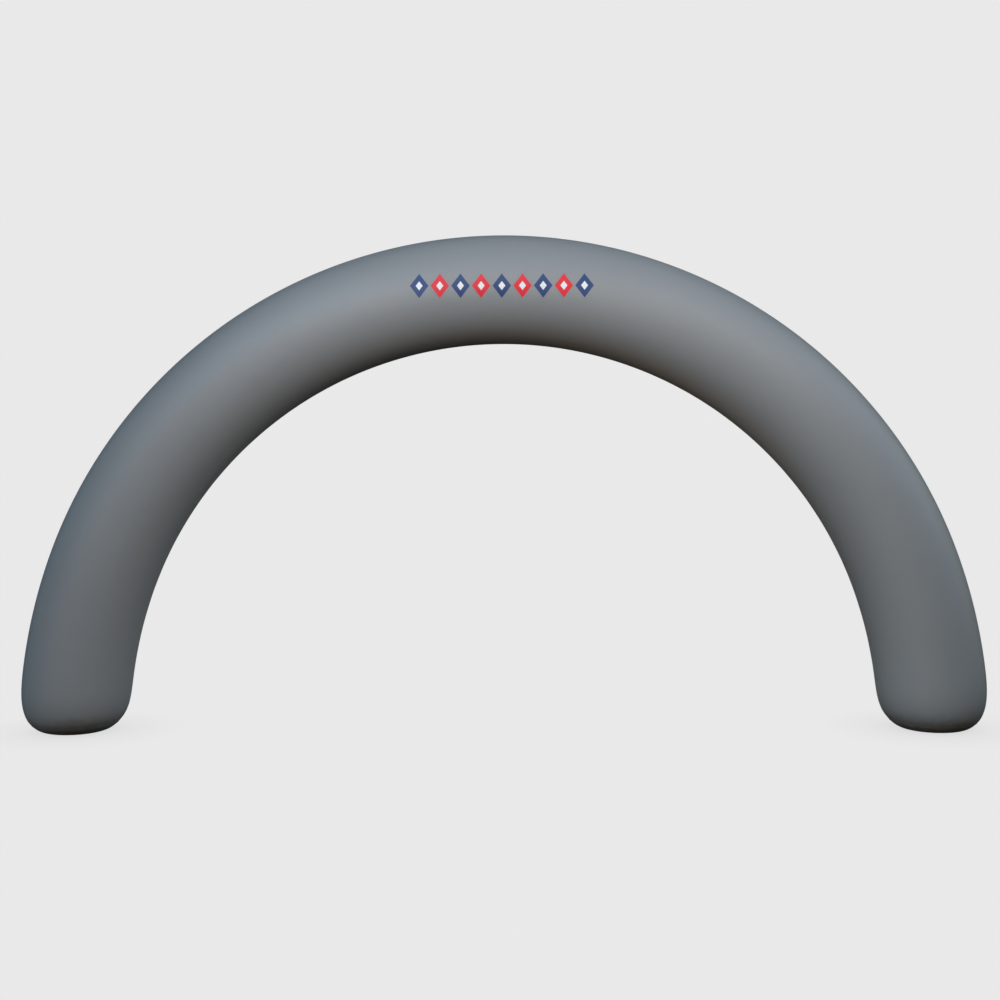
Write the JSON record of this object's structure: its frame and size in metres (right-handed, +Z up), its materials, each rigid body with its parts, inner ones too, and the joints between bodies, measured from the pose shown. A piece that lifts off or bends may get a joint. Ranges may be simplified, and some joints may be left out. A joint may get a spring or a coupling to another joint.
{
  "type": "inflatable arch",
  "caption": "Air-filled cloth tube bent to a half circle, standing upright on flat soles, that spans an entrance or a course so that people pass under it.",
  "frame": {"origin": "on the floor, midway between the feet", "axes": "+Z up; +X along the arch's width; the front, which carries the printed row of lozenges, faces -Y"},
  "size_m": [6.0046, 0.667, 3.069],
  "materials": {
    "grey_cloth": "coated polyester cloth, satin, fine plain weave, mid grey"
  },
  "bodies": {
    "root": {"arch": "grey_cloth"}
  },
  "joints": []
}
